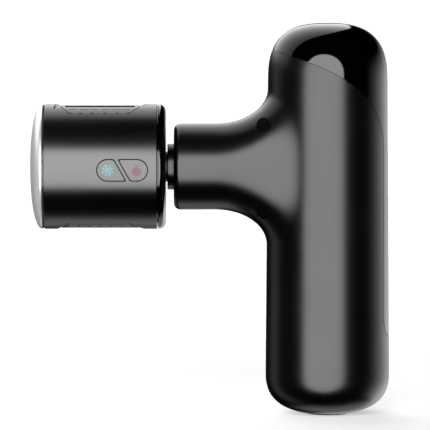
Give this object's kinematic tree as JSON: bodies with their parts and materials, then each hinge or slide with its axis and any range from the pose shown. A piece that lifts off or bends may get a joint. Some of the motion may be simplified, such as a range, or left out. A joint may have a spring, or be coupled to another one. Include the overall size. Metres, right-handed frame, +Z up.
{
  "type": "massage gun",
  "caption": "Compact T-shaped percussion massage gun with a removable hot and cold drum head, a press-on plug and an upright cylindrical grip.",
  "frame": {"origin": "centre of the flat pad under the grip", "axes": "+Z runs up the grip, -X points along the neck to the massage head, -Y is the gun's left side"},
  "size_m": [0.1345, 0.0468, 0.1467],
  "materials": {
    "satin_black": "satin, fine texture",
    "gloss_black": "polished",
    "matte_black": "matte",
    "rubber": "matte",
    "felt": "felted",
    "aluminium": "satin",
    "steel": "machined",
    "brass": "plain",
    "copper": "enamelled winding",
    "acetal": "moulded",
    "ceramic": "unglazed ceramic",
    "cell_wrap": "shrink wrap",
    "board_green": "solder mask",
    "smoked_lens": "smoked, polished"
  },
  "bodies": {
    "gun_body": {"left_shell": "satin_black", "right_shell": "satin_black", "gloss_panel": "gloss_black", "screw_plug_upper": "matte_black", "screw_plug_lower": "matte_black", "shell_screw_upper": "steel", "shell_screw_lower": "steel", "base_pad": "rubber", "dust_seal": "felt", "guide_bush": "acetal", "motor_base": "aluminium", "motor_bearing_lower": "steel", "motor_bearing_upper": "steel", "stator": "copper", "cell_left": "cell_wrap", "cell_right": "cell_wrap", "bus_strip_bottom": "steel", "bus_strip_top": "steel", "cell_cradle": "matte_black", "main_board": "board_green", "power_switch": "steel", "usb_port": "steel", "indicator_lens": "smoked_lens"},
    "power_key": {"power_button": "gloss_black"},
    "crank": {"rotor_bell": "steel", "magnet_ring": "matte_black", "motor_shaft": "steel", "crank_disc": "steel", "crank_bearing": "steel", "bearing_retainer": "steel"},
    "plunger": {"yoke": "aluminium", "plunger_sleeve": "satin_black", "yoke_pin": "steel", "socket_contact": "brass"},
    "head": {"face_plate": "aluminium", "face_gasket": "rubber", "head_housing": "satin_black", "vent_grille_top": "matte_black", "vent_grille_bottom": "matte_black", "switch_board": "board_green", "rear_cap": "gloss_black", "head_plug": "matte_black", "plug_o_ring": "rubber", "plug_contact": "brass", "plug_screw_1": "steel", "plug_screw_2": "steel", "plug_screw_3": "steel", "peltier_module": "ceramic", "heat_sink": "aluminium", "fan_frame": "matte_black", "head_board": "board_green"},
    "cold_key": {"cold_button": "satin_black"},
    "heat_key": {"heat_button": "satin_black"},
    "fan": {"fan_rotor": "matte_black"}
  },
  "joints": [
    {"name": "plunger_slide", "type": "slide", "parent": "gun_body", "child": "plunger", "axis": [-1, 0, 0], "range_m": [0, 0.007]},
    {"name": "crank_turn", "type": "hinge", "parent": "gun_body", "child": "crank", "pos_m": [0, 0, 0.0929], "axis": [0, 0, 1], "range_deg": [0, 180]},
    {"name": "head_pull_off", "type": "slide", "parent": "plunger", "child": "head", "axis": [-1, 0, 0], "range_m": [0, 0.023]},
    {"name": "fan_spin", "type": "hinge", "parent": "head", "child": "fan", "pos_m": [-0.087, 0, 0.0929], "axis": [1, 0, 0], "continuous": true},
    {"name": "cold_press", "type": "slide", "parent": "head", "child": "cold_key", "axis": [0, 1, 0], "range_m": [0, 0.0003], "stiffness_N_per_m": 3000, "springref_m": -0.0003},
    {"name": "heat_press", "type": "slide", "parent": "head", "child": "heat_key", "axis": [0, 1, 0], "range_m": [0, 0.0003], "stiffness_N_per_m": 3000, "springref_m": -0.0003},
    {"name": "power_press", "type": "slide", "parent": "gun_body", "child": "power_key", "axis": [-1, 0, 0], "range_m": [0, 0.0004], "stiffness_N_per_m": 3000, "springref_m": -0.0003}
  ],
  "couplings": [
    {"joint": "crank_turn", "follows": "plunger_slide", "rad_per_m": 448.79}
  ]
}
